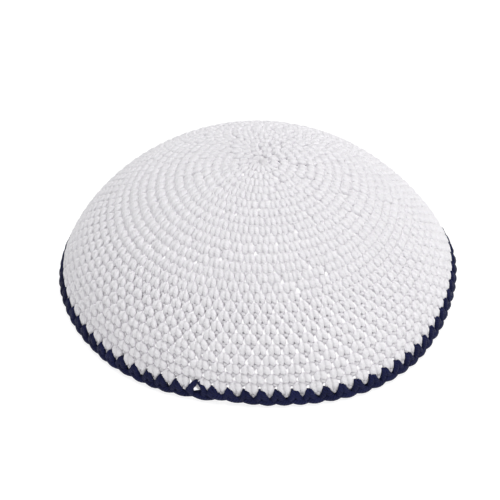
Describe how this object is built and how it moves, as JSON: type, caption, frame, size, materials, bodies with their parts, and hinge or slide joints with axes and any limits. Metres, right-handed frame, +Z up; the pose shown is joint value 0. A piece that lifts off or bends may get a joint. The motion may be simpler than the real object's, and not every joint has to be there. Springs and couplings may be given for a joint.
{
  "type": "crocheted kippah skullcap",
  "caption": "White domed kippah in open single crochet, edged with a round of navy crochet whose teeth point up into the white.",
  "frame": {"origin": "middle of the rim's outline, on the surface the cap rests on", "axes": "+Z up through the crown, -Y to the front, +X to the right as seen from the front"},
  "size_m": [0.1721, 0.1689, 0.0652],
  "materials": {
    "white_cotton_yarn": "crocheted cotton yarn, matt",
    "navy_cotton_yarn": "crocheted cotton yarn, matt"
  },
  "bodies": {
    "root": {"crown": "white_cotton_yarn", "border": "navy_cotton_yarn"}
  },
  "joints": []
}
